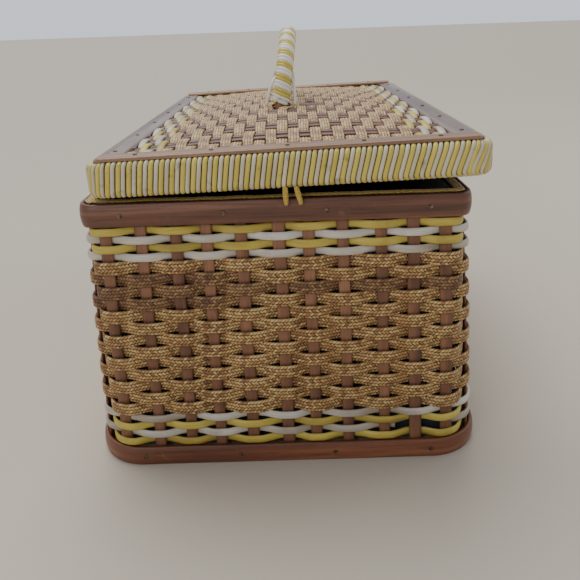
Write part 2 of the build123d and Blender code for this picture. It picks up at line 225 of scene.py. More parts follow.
def plait_relief(along, length, across, pitch):
    """Herringbone stitches of a flat four-strand braid: relief, groove, tint and edge swell."""
    turns = round(length / pitch)
    phase = along[:, None] / length * turns
    place = (across[None, :] + 1) * 2
    column = np.clip(np.floor(place), 0, 3)
    inside = place - column - 0.5
    slant = np.where(column % 2 == 0, 1.0, -1.0)
    leg = phase + slant * inside * 0.9 + column * 0.5
    stitch = np.floor(leg)
    bump = np.abs(np.sin(math.pi * leg)) ** 0.6
    seam = 1 - np.exp(-(((np.abs(inside) - 0.5) / 0.16) ** 2))
    height = bump * (0.45 + 0.55 * seam)
    tint = scatter(stitch * 7 + column * 131)
    edge = 1 + 0.07 * np.sin(2 * math.pi * (phase + np.where(across > 0, 0.5, 0.0)))
    return 1 - height, tint, edge


def strand(name, points, outward, sideways, half_w, half_t, closed, material,
           plait=None, sections=12, squareness=0.8, stain=None, tint=None):
    """A flat strand swept along points. plait gives it the stitches of a braid, at that pitch."""
    count = len(points)
    tangent = np.roll(points, -1, axis=0) - np.roll(points, 1, axis=0)
    if not closed:
        tangent[0], tangent[-1] = points[1] - points[0], points[-1] - points[-2]
    tangent = unit(tangent)
    out = unit(outward - (outward * tangent).sum(1, keepdims=True) * tangent)
    side = unit(np.cross(tangent, out))
    side *= np.sign((side * sideways).sum(1, keepdims=True) + 1e-12)
    along, length = distances(points, closed)
    half_w = np.broadcast_to(half_w, count)[:, None]
    half_t = np.broadcast_to(half_t, count)[:, None]
    across, thick = plait_section(17, 5) if plait else oval(sections, 1.0, 1.0, squareness)
    shape = (count, len(across))
    groove, edge = np.zeros(shape), 1.0
    tints = np.broadcast_to(rng.uniform(0, 1) if tint is None else tint, shape)
    relief = 0.0
    if plait:
        groove, tints, edge = plait_relief(along, length, across, plait)
        relief = -0.75 * groove * (thick[None, :] > 0.1)
    a = across[None, :] * half_w * edge
    o = (thick[None, :] + relief) * half_t
    grid = points[:, None, :] + side[:, None, :] * a[..., None] + out[:, None, :] * o[..., None]
    runs = np.broadcast_to(along[:, None], shape)
    path = np.stack([runs, np.broadcast_to(across * half_w, shape), tints], -1)
    piece = grid_mesh(name, grid, closed, path, groove, material)
    if stain is not None:
        piece.data.attributes.new("stain", "FLOAT", "POINT").data.foreach_set(
            "value", np.broadcast_to(stain[:, None], shape).astype(np.float32).ravel()
        )
    return piece


# ---- materials ----
def linear(rgb):
    """A colour given as 0 to 255, made linear."""
    shares = [value / 255 for value in rgb]
    return (*(v / 12.92 if v <= 0.04045 else ((v + 0.055) / 1.055) ** 2.4 for v in shares), 1.0)


class Surface:
    """A Principled material whose colour, roughness and bump come from a few chained nodes."""

    def __init__(self, name, roughness, sheen=0.0, coat=0.0, metallic=0.0):
        self.material = bpy.data.materials.new(name)
        self.material.use_nodes = True
        self.nodes = self.material.node_tree.nodes
        self.links = self.material.node_tree.links
        self.shader = self.nodes["Principled BSDF"]
        for socket, value in (
            ("Roughness", roughness),
            ("Sheen Weight", sheen),
            ("Coat Weight", coat),
            ("Coat Roughness", 0.25),
            ("Metallic", metallic),
        ):
            self.shader.inputs[socket].default_value = value
        self.height = None

    def feed(self, socket, value):
        """A linked output or a plain value goes into a socket."""
        if isinstance(value, bpy.types.NodeSocket):
            self.links.new(value, socket)
        else:
            socket.default_value = value

    def node(self, kind, **inputs):
        made = self.nodes.new(kind)
        for key, value in inputs.items():
            self.feed(made.inputs[key.replace("_", " ")], value)
        return made

    def attribute(self, name, output="Fac"):
        made = self.nodes.new("ShaderNodeAttribute")
        made.attribute_name = name
        return made.outputs[output]

    def object_place(self, scale=(1, 1, 1)):
        place = self.nodes.new("ShaderNodeTexCoord").outputs["Object"]
        return self.node("ShaderNodeMapping", Vector=place, Scale=scale).outputs["Vector"]

    def path_place(self, scale):
        place = self.attribute("path", "Vector")
        return self.node("ShaderNodeMapping", Vector=place, Scale=scale).outputs["Vector"]

    def noise(self, place, scale, detail=4.0, roughness=0.55):
        made = self.node(
            "ShaderNodeTexNoise", Vector=place, Scale=scale, Detail=detail, Roughness=roughness
        )
        return made.outputs["Fac"]

    def ramp(self, factor, *stops):
        made = self.nodes.new("ShaderNodeValToRGB")
        self.links.new(factor, made.inputs["Fac"])
        elements = made.color_ramp.elements
        while len(elements) < len(stops):
            elements.new(0.5)
        for element, (at, colour) in zip(elements, stops, strict=True):
            element.position = at
            element.color = colour
        return made.outputs["Color"]

    def levels(self, factor, low, high):
        made = self.node("ShaderNodeMapRange", Value=factor, From_Min=low, From_Max=high)
        return made.outputs["Result"]

    def mix(self, factor, first, second, blend="MIX"):
        made = self.nodes.new("ShaderNodeMix")
        made.data_type = "RGBA"
        made.blend_type = blend
        for socket, value in ((0, factor), (6, first), (7, second)):
            self.feed(made.inputs[socket], value)
        return made.outputs[2]

    def maths(self, operation, first, second):
        made = self.nodes.new("ShaderNodeMath")
        made.operation = operation
        for socket, value in zip(made.inputs, (first, second)):
            self.feed(socket, value)
        return made.outputs[0]

    def times(self, first, second):
        return self.maths("MULTIPLY", first, second)

    def colour(self, socket):
        self.links.new(socket, self.shader.inputs["Base Color"])

    def rough(self, factor, low, high):
        made = self.node("ShaderNodeMapRange", Value=factor, To_Min=low, To_Max=high)
        self.links.new(made.outputs["Result"], self.shader.inputs["Roughness"])

    def bump(self, height, strength, distance):
        made = self.node("ShaderNodeBump", Height=height, Strength=strength, Distance=distance)
        if self.height is not None:
            self.links.new(self.height, made.inputs["Normal"])
        self.height = made.outputs["Normal"]
        self.links.new(self.height, self.shader.inputs["Normal"])


def cane(name, pale, mid, dark, roughness=0.42, coat=0.15):
    """Cane: fine fibres along the strand, slow colour drift and grime in places."""
    pale, mid, dark = map(linear, (pale, mid, dark))
    s = Surface(name, roughness=roughness, coat=coat)
    fibres = s.noise(s.path_place((90, 2600, 40)), 1.0, 3.0)
    drift = s.noise(s.path_place((14, 60, 7)), 1.0, 3.0)
    base = s.ramp(s.levels(drift, 0.3, 0.72), (0.0, dark), (0.45, mid), (1.0, pale))
    base = s.mix(s.levels(fibres, 0.35, 0.75), base, s.mix(0.45, base, dark))
    grime = s.levels(s.noise(s.object_place(), 55.0, 5.0), 0.56, 0.74)
    base = s.mix(s.times(grime, 0.45), base, dark)
    s.colour(base)
    s.rough(fibres, roughness - 0.08, roughness + 0.16)
    s.bump(fibres, 0.35, 0.25 * MM)
    return s.material


def coated_cord(name, pale, mid, stain):
    """Smooth coated strand, a little grubby, with faint ripples."""
    pale, mid, stain = map(linear, (pale, mid, stain))
    s = Surface(name, roughness=0.38, coat=0.25)
    drift = s.noise(s.path_place((26, 200, 9)), 1.0, 3.0)
    base = s.ramp(s.levels(drift, 0.28, 0.7), (0.0, mid), (1.0, pale))
    spots = s.levels(s.noise(s.object_place(), 130.0, 5.0), 0.6, 0.74)
    base = s.mix(s.times(spots, 0.6), base, stain)
    s.colour(base)
    s.rough(drift, 0.3, 0.5)
    s.bump(s.noise(s.path_place((160, 500, 30)), 1.0, 2.0), 0.2, 0.2 * MM)
    return s.material


def straw(name, pale, mid, dark, groove_shade, stained):
    """Plaited straw: each stitch its own random tone, the palest ones standing in for painted glints,
    painted shade in the grooves, stained where marked.
    """
    pale, mid, dark, groove_shade, stained = map(linear, (pale, mid, dark, groove_shade, stained))
    s = Surface(name, roughness=0.45, sheen=0.1, coat=0.1)
    groove = s.attribute("groove")
    stain = s.attribute("stain")
    parts = s.node("ShaderNodeSeparateXYZ", Vector=s.attribute("path", "Vector"))
    patches = s.noise(s.path_place((60, 120, 0)), 1.0, 4.0, 0.65)
    stalks = s.noise(s.path_place((1100, 1500, 9)), 1.0, 3.0, 0.7)
    shade = s.maths("ADD", s.times(parts.outputs["Z"], 0.62), s.times(patches, 0.42))
    # Each stitch takes a random tone. The pale end of this ramp is set low enough to paint glints on the
    # straw.
    base = s.ramp(shade, (0.12, dark), (0.42, mid), (0.78, pale))
    base = s.mix(s.levels(stalks, 0.45, 0.75), base, s.mix(0.5, base, dark))
    base = s.mix(s.times(stain, 0.95), base, s.mix(0.85, base, stained, "MULTIPLY"))
    # Painted shade: the grooves between stitches are darkened towards the groove shade colour.
    base = s.mix(s.levels(groove, 0.16, 0.72), base, groove_shade)
    s.colour(base)
    s.rough(stalks, 0.36, 0.66)
    s.bump(stalks, 0.6, 0.4 * MM)
    return s.material


def wood(name, pale, mid, dark, axis_scale, roughness=0.4, coat=0.2, wear=0.4):
    """Stained flat cane or wood: long grain, worn patches and scratches."""
    pale, mid, dark = map(linear, (pale, mid, dark))
    s = Surface(name, roughness=roughness, coat=coat)
    grain = s.noise(s.object_place(axis_scale), 1.0, 6.0, 0.65)
    broad = s.noise(s.object_place(tuple(v * 0.12 for v in axis_scale)), 1.0, 3.0)
    base = s.ramp(s.levels(broad, 0.3, 0.72), (0.0, dark), (0.5, mid), (1.0, pale))
    base = s.mix(s.levels(grain, 0.45, 0.68), base, s.mix(0.55, base, dark))
    scuffs = s.levels(s.noise(s.object_place(), 90.0, 6.0, 0.7), 0.6, 0.76)
    base = s.mix(s.times(scuffs, wear), base, pale)
    s.colour(base)
    s.rough(grain, roughness - 0.1, roughness + 0.2)
    s.bump(grain, 0.3, 0.3 * MM)
    return s.material


def printed_cloth(name, ground, fleck):
    """Dark cotton with small scattered flecks and a fine weave."""
    ground, fleck = map(linear, (ground, fleck))
    s = Surface(name, roughness=0.8, sheen=0.35)
    cells = s.node("ShaderNodeTexVoronoi", Vector=s.object_place(), Scale=260.0)
    spot = s.levels(cells.outputs["Distance"], 0.26, 0.18)
    drift = s.noise(s.object_place(), 40.0, 3.0)
    base = s.mix(drift, ground, s.mix(0.5, ground, (0.02, 0.03, 0.06, 1)))
    s.colour(s.mix(s.times(spot, s.levels(drift, 0.35, 0.6)), base, fleck))
    threads = s.node("ShaderNodeTexWave", Vector=s.object_place(), Scale=300.0)
    s.bump(threads.outputs["Fac"], 0.25, 0.15 * MM)
    s.bump(s.noise(s.object_place(), 60.0, 3.0), 0.3, 0.8 * MM)
    return s.material


def metal(name, bright, rust):
    """Dull wire or nail steel with rust freckles."""
    bright, rust = map(linear, (bright, rust))
    s = Surface(name, roughness=0.42, metallic=0.9)
    freckles = s.levels(s.noise(s.object_place(), 700.0, 5.0), 0.48, 0.62)
    s.colour(s.mix(freckles, bright, rust))
    s.rough(freckles, 0.35, 0.7)
    s.bump(freckles, 0.2, 0.1 * MM)
    return s.material


def gold_gimp(name):
    """Woven gimp braid: bright yellow threads over darker ones, with painted shade in its grooves."""
    s = Surface(name, roughness=0.6, sheen=0.3)
    groove = s.attribute("groove")
    threads = s.noise(s.path_place((1400, 500, 20)), 1.0, 2.0)
    base = s.mix(s.levels(threads, 0.35, 0.7), linear((176, 140, 44)), linear((214, 184, 84)))
    # Painted shade: the grooves between the stitches darken towards a deep brown.
    base = s.mix(s.levels(groove, 0.3, 0.85), base, linear((84, 60, 24)))
    s.colour(base)
    s.bump(threads, 0.5, 0.3 * MM)
    return s.material


YELLOW_CANE = cane("yellow_cane", (226, 208, 104), (202, 180, 76), (136, 112, 50))
WHITE_CANE = cane("white_cane", (232, 228, 218), (206, 198, 184), (146, 128, 106))
STAKE_CANE = cane("stake_cane", (166, 116, 84), (130, 86, 60), (78, 48, 34), 0.45, 0.1)
LID_STAKE_CANE = cane("lid_stake_cane", (150, 104, 86), (112, 74, 60), (62, 40, 32), 0.45, 0.1)
STAIN = (138, 98, 98)
BRAID = straw("straw", (244, 206, 136), (196, 148, 84), (132, 86, 46), (48, 28, 17), STAIN)
LID_BRAID = straw("lid_straw", (250, 216, 150), (214, 170, 106), (150, 104, 60), (52, 33, 22), STAIN)
BAND = wood("band", (144, 99, 77), (108, 67, 49), (64, 38, 28), (40, 40, 900))
BOTTOM_BAND = wood("bottom_band", (166, 108, 74), (128, 74, 48), (76, 42, 26), (40, 40, 900))
STRIP_ACROSS = wood("strip_across", (208, 170, 132), (168, 128, 96), (112, 80, 58), (30, 900, 300),
                    0.36, 0.35)
# Side strips: brown stained cane whose colour is greyed and tinted lavender as a painted sheen of
# reflected sky, besides the real coat.
STRIP_ALONG_SHEEN = wood("strip_along", (176, 158, 150), (136, 112, 102), (88, 68, 60), (900, 30, 300),
                   0.3, 0.55)
BOARD = wood("board", (206, 178, 138), (184, 150, 108), (140, 106, 72), (400, 30, 300), 0.7, 0.0)
# Hoop: wood under the cords, kept dark so that the gaps between the cords show painted shade.
HOOP_WOOD_SHADE = wood("hoop", (120, 84, 56), (92, 62, 40), (54, 34, 22), (60, 60, 900), 0.6, 0.0)
RIM_YELLOW = coated_cord("rim_yellow", (224, 206, 100), (198, 176, 70), (100, 78, 36))
RIM_WHITE = coated_cord("rim_white", (222, 214, 196), (190, 180, 158), (104, 90, 72))
HANDLE_CANE = wood("handle_cane", (186, 142, 104), (150, 108, 76), (96, 64, 44), (60, 900, 60))
HANDLE_WHITE = coated_cord("handle_white", (248, 246, 240), (234, 230, 220), (140, 122, 96))
WHITE_CORD = coated_cord("white_cord", (248, 246, 238), (226, 222, 210), (150, 140, 120))
LINING = printed_cloth("lining", (26, 30, 48), (150, 134, 70))
NAIL = metal("nail", (128, 116, 98), (64, 44, 32))
GIMP = gold_gimp("gimp")


def cad_object(node):
    """The object that holds a CAD node."""
    target = frame["nodes"][node]
    return target if isinstance(target, bpy.types.Object) else bpy.data.objects[target]


def paint(node, material):
    """A carried-over CAD node gets its own material in every slot."""
    target = cad_object(node)
    if not target.material_slots:
        target.data.materials.append(material)
    for slot in target.material_slots:
        slot.material = material


# ---- body outline ----
BAND_LOW, BAND_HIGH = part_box("top_band_outer")
BOTTOM_LOW, BOTTOM_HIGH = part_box("bottom_band")
BODY_H = BAND_HIGH.z
TOP_Z = (BAND_LOW.z + BAND_HIGH.z) / 2
BOTTOM_Z = (BOTTOM_LOW.z + BOTTOM_HIGH.z) / 2


def outline(z, inset):
    """Width, length, corner radius and middle of the wall's plan at a height."""
    t = (z - BOTTOM_Z) / (TOP_Z - BOTTOM_Z)

    def between(low, high):
        return low + (high - low) * t

    width = between(BOTTOM_HIGH.x - BOTTOM_LOW.x, BAND_HIGH.x - BAND_LOW.x) - 2 * inset
    length = between(BOTTOM_HIGH.y - BOTTOM_LOW.y, BAND_HIGH.y - BAND_LOW.y) - 2 * inset
    centre = between((BOTTOM_HIGH.x + BOTTOM_LOW.x) / 2, (BAND_HIGH.x + BAND_LOW.x) / 2)
    corner = CORNER_TOP + (CORNER_BOTTOM - CORNER_TOP) * (1 - z / BODY_H) - inset
    return width, length, max(corner, 1.5 * MM), centre


def wall_path(z, inset, step):
    """Points and outward normals (3-D) round the wall at a height."""
    width, length, corner, centre = outline(z, inset)
    flat, normals = rounded_rect(width, length, corner, step)
    points = np.column_stack([flat[:, 0] + centre, flat[:, 1], np.full(len(flat), z)])
    return points, np.column_stack([normals, np.zeros(len(normals))])


# How far each upright stands off its even place, in mm.
STAKES_OFF = rng.uniform(-1.6, 1.6, 2 * (STAKES_PER_END + STAKES_PER_SIDE))


def stake_places(z, inset):
    """Where every upright stands at a height, anticlockwise from the near end's left."""
    width, length, corner, centre = outline(z, inset)
    places = []
    spread = 1 + (STAKE_SPREAD - 1) * (1 - z / BODY_H)
    an_end = (width, length, STAKES_PER_END, END_PITCH)
    a_side = (length, width, STAKES_PER_SIDE, SIDE_PITCH)
    for side in range(4):
        across, depth, count, pitch = a_side if side % 2 else an_end
        for i in range(count):
            along = (i - (count - 1) / 2) * pitch * spread + STAKES_OFF[len(places)] * MM
            past = abs(along) - (across / 2 - corner)
            recess = corner - math.sqrt(max(0.0, corner**2 - past**2)) if past > 0 else 0.0
            point = np.array([along, recess - depth / 2])
            turn = side * math.pi / 2
            spin = np.array([[math.cos(turn), -math.sin(turn)], [math.sin(turn), math.cos(turn)]])
            places.append(spin @ point + (centre, 0))
    return np.array(places)


# ---- uprights and rows ----
def make_stakes():
    """Half-round uprights, each wandering a little sideways on its way up."""
    heights = np.linspace(1.0 * MM, BODY_H - 2.5 * MM, 60)
    columns = np.stack([stake_places(z, STAKE_MIDDLE) for z in heights], 1)
    names = ["stakes_near_end", "stakes_right_side", "stakes_far_end", "stakes_left_side"]
    counts = [STAKES_PER_END, STAKES_PER_SIDE, STAKES_PER_END, STAKES_PER_SIDE]
    first = 0
    for side, (name, count) in enumerate(zip(names, counts)):
        turn = side * math.pi / 2
        out = np.array([math.sin(turn), -math.cos(turn), 0.0])
        sideways = np.array([math.cos(turn), math.sin(turn), 0.0])
        bars = []
        for i in range(first, first + count):
            points = np.column_stack([columns[i], heights])
            points += sideways * wander(len(points), 3, 0.35 * MM, closed=False)[:, None]
            width = STAKE_W / 2 * rng.uniform(0.93, 1.04)
            bars.append(
                strand(f"{name}_{i}", points, out, sideways, width, STAKE_T / 2, False, STAKE_CANE,
                       squareness=0.75)
            )
        finish_piece(joined(f"{name}_canes", bars), "basket", "stake_cane", name)
        first += count


def row_depth(points, stakes, over_first, size):
    """How far out a row stands at each point: over one upright, behind the next."""
    along, length = distances(points)
    near = np.linalg.norm(points[:, None, :2] - stakes[None], axis=2).argmin(0)
    order = np.argsort(along[near])
    at = along[near][order]
    sign = np.where((order + over_first) % 2 == 0, 1.0, -1.0)
    at = np.concatenate([[at[-1] - length], at, [at[0] + length]])
    sign = np.concatenate([[sign[-1]], sign, [sign[0]]])
    k = np.clip(np.searchsorted(at, along, side="right") - 1, 0, len(at) - 2)
    t = (along - at[k]) / (at[k + 1] - at[k])
    blend = 0.5 - 0.5 * np.cos(math.pi * np.clip((t - 0.12) / 0.76, 0, 1))
    return size * (sign[k] + (sign[k + 1] - sign[k]) * blend)


ROW_SWING = 2.1 * MM
CANE_HALF = (2.6 * MM, 1.15 * MM)
BRAID_HALF = (4.35 * MM, 1.2 * MM)
PLAIT_PITCH = 2.25 * MM
ROW_KINDS = {
    "yellow": (YELLOW_CANE, "yellow_cane"),
    "white": (WHITE_CANE, "white_cane"),
    "braid": (BRAID, "straw_braid"),
}
DARK_ROW = 7  # the row that is stained all the way round
BROKEN_ROW, BREAK = 20, (70 * MM, 99 * MM)  # a strand missing near the near end's right corner


def row_stain(number, points):
    """How darkly a row is stained along its run: one row all over, its neighbours in part."""
    if abs(number - DARK_ROW) > 1:
        return np.zeros(len(points))
    drift = 0.5 + wander(len(points), 14, 0.5)
    if number == DARK_ROW:
        return 0.65 + 0.35 * drift
    return np.clip(-points[:, 0] / (60 * MM), 0, 1) * (points[:, 1] < 0) * np.clip(drift * 1.6, 0, 1)


def make_rows():
    """Every row of the body, woven over and under the uprights."""
    nodes = sorted(n for n in frame["record"]["behaviour"]["bodies"]["basket"] if n.startswith("weaver"))
    for number, node in enumerate(nodes, 1):
        low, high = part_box(node)
        z = (low.z + high.z) / 2
        kind = node.split("_")[-1]
        braid = kind == "braid"
        points, normals = wall_path(z, STAKE_MIDDLE, 0.5 * MM if braid else 1.3 * MM)
        depth = row_depth(points, stake_places(z, STAKE_MIDDLE), number - 1, ROW_SWING)
        depth += wander(len(points), 24, 0.15 * MM)
        points = points + normals * depth[:, None]
        points[:, 2] += wander(len(points), 26, 0.5 * MM if braid else 0.35 * MM)
        closed = True
        if number == BROKEN_ROW:
            gone = (points[:, 1] < 0) & (points[:, 0] > BREAK[0]) & (points[:, 0] < BREAK[1])
            gone &= np.abs(normals[:, 1]) > 0.5
            start = np.nonzero(gone)[0].max() + 1
            points, normals = np.roll(points, -start, axis=0), np.roll(normals, -start, axis=0)
            points, normals = points[: -gone.sum()], normals[: -gone.sum()]
            closed = False
        half_w, half_t = BRAID_HALF if braid else CANE_HALF
        widths = half_w * (1 + wander(len(points), 30, 0.04, closed))
        material, slot_name = ROW_KINDS[kind]
        piece = strand(node.replace("weaver", "row"), points, normals, UP, widths, half_t, closed,
                       material, plait=PLAIT_PITCH if braid else None, squareness=0.85,
                       stain=row_stain(number, points) if braid else None, tint=number * 0.37)
        finish_piece(piece, "basket", slot_name, node)


# ---- rim strips of the body ----
def swept_band(name, low, high, material):
    """A strip bent round the wall, its face crowned and its edges a little uneven."""
    middle, half = (low.z + high.z) / 2, (high.z - low.z) / 2
    points, normals = wall_path(middle, 0, 3 * MM)
    up = np.array([-1, -0.92, -0.7, -0.35, 0, 0.35, 0.7, 0.92, 1])
    out = -BAND_CROWN * np.abs(up) ** 2.6
    up = np.concatenate([up, [1.0, 0.0, -1.0]])
    out = np.concatenate([out, [-BAND_T, -BAND_T, -BAND_T]])
    drift = wander(len(points), 30, 0.25 * MM)
    waves = wander(len(points), 22, 0.18 * MM)
    heights = middle + up[None, :] * (half + drift[:, None] * (up[None, :] > 0.5))
    offsets = out[None, :] + waves[:, None] * (out[None, :] > -BAND_T * 0.9)
    grid = np.empty((len(points), len(up), 3))
    grid[..., :2] = points[:, None, :2] + normals[:, None, :2] * offsets[..., None]
    grid[..., 2] = heights
    along, _ = distances(points)
    shape = grid.shape[:2]
    runs, heights = np.broadcast_to(along[:, None], shape), np.broadcast_to(up * half, shape)
    path = np.stack([runs, heights, np.zeros(shape)], -1)
    return grid_mesh(name, grid, True, path, np.zeros(shape), material)


def make_bands():
    """The two strips round the body, and the finish of the CAD parts beside them."""
    for name, node, low, high, material in (
        ("top_band", "top_band_outer", BAND_LOW, BAND_HIGH, BAND),
        ("bottom_band_strip", "bottom_band", BOTTOM_LOW, BOTTOM_HIGH, BOTTOM_BAND),
    ):
        finish_piece(swept_band(name, low, high, material), "basket", "band_wood", node)
    paint("top_band_inner", BAND)
    paint("base_board", BOARD)
    for part in ("bottom_band_nails", "top_band_nails", "lid_strip_nails", "hinge_staples", "hinge_eyes"):
        paint(part, NAIL)


# ---- lining of the body ----
GIMP_PITCH, GIMP_LOOP = 4.6 * MM, 3.4 * MM  # stitches of the gimp, and the loops on its edge


def make_lining():
    """Cloth on the walls, a soft floor, and gimp round the mouth."""
    low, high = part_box("lining_walls")
    heights = np.linspace(low.z, high.z, 40)
    thick = 0.5 * MM
    rings = []
    base_points, _ = wall_path(high.z, LINING_INSET, 4 * MM)
    count = len(base_points)
    puckers = wander(count, 60, 0.35 * MM)
    for face, order in ((0.0, heights), (thick, heights[::-1])):
        for z in order:
            width, length, corner, centre = outline(z, LINING_INSET + face)
            flat, normals = rounded_rect(width, length, max(corner, 5 * MM), 4 * MM)
            at = np.append(*distances(flat))
            t = np.arange(count) / count * at[-1]
            fade = math.sin(math.pi * (z - low.z) / (high.z - low.z))
            xy = read_loop(flat, at, t) - read_loop(normals, at, t) * puckers[:, None] * fade
            rings.append(np.column_stack([xy[:, 0] + centre, xy[:, 1], np.full(count, z)]))
    cloth = grid_mesh("lining_cloth", np.array(rings), True, material=LINING)
    finish_piece(cloth, "basket", "lining_cloth", "lining_walls")

    low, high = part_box("lining_floor")
    floor = pad("lining_floor_pad", low, high, 26 * MM, 0.5 * MM, LINING)
    finish_piece(floor, "basket", "lining_cloth", "lining_floor")

    points, normals = wall_path(BODY_H, MOUTH_GIMP_INSET, 0.9 * MM)
    points[:, 2] += 0.5 * MM + wander(len(points), 70, 0.3 * MM)
    along, _ = distances(points)
    scallop = 0.8 + 0.3 * np.abs(np.sin(math.pi * along / GIMP_LOOP)) + wander(len(along), 90, 0.12)
    gimp = strand("mouth_gimp", points, UP, normals, 3.0 * MM * scallop, 0.7 * MM, True, GIMP,
                  plait=GIMP_PITCH)
    finish_piece(gimp, "basket", "gimp", "lining_trim")


def pad(name, low, high, corner, bulge, material, buttons=None):
    """A thin covered pad: flat below, softly crowned above, with optional sewn diamonds."""
    rings, spokes = 26, 160
    half = ((high.x - low.x) / 2, (high.y - low.y) / 2)
    outer, _ = rounded_rect(half[0] * 2, half[1] * 2, corner, 2 * (half[0] + half[1]) * 2 / spokes)
    at = np.append(*distances(outer))
    edge = read_loop(outer, at, np.arange(spokes) / spokes * at[-1])
    thick = high.z - low.z
    grid = []
    for share in np.linspace(0.02, 0.985, rings):
        grid.append(np.column_stack([edge * share, np.zeros(spokes)]))
    grid.append(np.column_stack([edge, np.full(spokes, thick * 0.5)]))
    for share in np.linspace(0.985, 0.02, rings):
        xy = edge * share
        crown = np.full(spokes, thick)
        if buttons:
            u, v = xy[:, 0] / buttons, xy[:, 1] / buttons
            seam = np.minimum(np.abs(np.sin(math.pi * (u + v) / 2)), np.abs(np.sin(math.pi * (u - v) / 2)))
            crown = thick + bulge * (np.minimum(seam * 2.2, 1) - 1)
        grid.append(np.column_stack([xy, crown]))
    grid = np.array(grid)
    centre = Vector(((low.x + high.x) / 2, (low.y + high.y) / 2, low.z))
    grid += np.array(centre)
    return grid_mesh(name, grid, False, material=material)


def gimp_ring(name, low, high, corner):
    """Looped gold braid standing round an edge."""
    half_t = 1.1 * MM
    width, length = high.x - low.x - 2 * half_t, high.y - low.y - 2 * half_t
    flat, normals = rounded_rect(width, length, corner, 0.9 * MM)
    z = (low.z + high.z) / 2
    points = np.column_stack([flat, np.full(len(flat), z)])
    points[:, 0] += (low.x + high.x) / 2
    points[:, 1] += (low.y + high.y) / 2
    out = np.column_stack([normals, np.zeros(len(flat))])
    along, length = distances(points)
    scallop = 0.84 + 0.3 * np.abs(np.sin(math.pi * along / GIMP_LOOP)) + wander(len(along), 90, 0.12)
    widths = (high.z - low.z) / 2 * scallop
    return strand(name, points, out, UP, widths, half_t, True, GIMP, plait=GIMP_PITCH)


# ---- lid ----
LEFT_LOW, LEFT_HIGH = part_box("lid_strip_left")
RIGHT_LOW, RIGHT_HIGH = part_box("lid_strip_right")
LEFT, RIGHT = (LEFT_LOW + LEFT_HIGH) / 2, (RIGHT_LOW + RIGHT_HIGH) / 2
TILT = math.atan2(RIGHT.z - LEFT.z, RIGHT.x - LEFT.x)
WRAP_LOW, WRAP_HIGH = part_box("lid_rim_wrap")
LID_L = WRAP_HIGH.y - WRAP_LOW.y
LID_W = 238.6 * MM
RIM_H, RIM_TOP = 21.4 * MM, 2.5 * MM
STRIP_W, STRIP_SETBACK = 15.0 * MM, 3.6 * MM
HANDLE_X = -4.5 * MM
ACROSS_LID = [math.cos(TILT), 0.0, math.sin(TILT)]
LID_AXES = np.array([ACROSS_LID, [0.0, 1.0, 0.0], [-math.sin(TILT), 0.0, math.cos(TILT)]])
LID_ORIGIN = np.array((LEFT + RIGHT) / 2) + LID_AXES[2] * STRIP_T / 2
FIELD_X, FIELD_Y = LID_W / 2 - STRIP_W - STRIP_SETBACK, LID_L / 2 - STRIP_W - STRIP_SETBACK


def turned(vectors):
    """Directions on the lid, in the shared frame."""
    return np.asarray(vectors, float) @ LID_AXES


def on_lid(points):
    """Lid coordinates (across, along, up) to the shared frame."""
    return LID_ORIGIN + turned(points)


def dome(u, v):
    """Rise of the lid's weave."""
    x, y = np.clip(1 - (u / FIELD_X) ** 2, 0, 1), np.clip(1 - (v / FIELD_Y) ** 2, 0, 1)
    return DOME * x * y


WEAVE_W = -3.4 * MM  # middle of the lid's weave at its edges
PAIR_PITCH = 2 * FIELD_Y / LID_PAIRS
LID_STAKE_HALF = (3.7 * MM, 1.0 * MM)
LID_BRAID_HALF, LID_CANE_HALF = (3.65 * MM, 0.95 * MM), (2.45 * MM, 1.25 * MM)
LID_SWING = 1.95 * MM  # how far the columns rise and fall over the pairs


def pair_places():
    return (np.arange(LID_PAIRS) - (LID_PAIRS - 1) / 2) * PAIR_PITCH


def make_lid_stakes():
    """Pairs of flat canes across the lid."""
    bars = []
    half_end = LID_W / 2 - RIM_T - 0.5 * MM
    for i, middle in enumerate(pair_places()):
        for step in (-1, 1):
            y = middle + step * 3.75 * MM
            u = np.linspace(-half_end, half_end, 70)
            v = np.full(len(u), y) + wander(len(u), 4, 0.4 * MM, closed=False)
            w = WEAVE_W + dome(u, v)
            keep_clear = np.abs(np.abs(y) - HANDLE_R) < 9 * MM
            if keep_clear:
                away = np.sign(y - np.sign(y) * HANDLE_R)
                v = v + away * 4.2 * MM * np.exp(-(((u - HANDLE_X) / (11 * MM)) ** 2))
            points = on_lid(np.column_stack([u, v, w]))
            bars.append(strand(f"lid_stake_{i}_{step}", points, LID_AXES[2], LID_AXES[1],
                               *LID_STAKE_HALF, False, LID_STAKE_CANE, squareness=0.75))
    finish_piece(joined("lid_stake_canes", bars), "lid", "stake_cane", "lid_stakes")


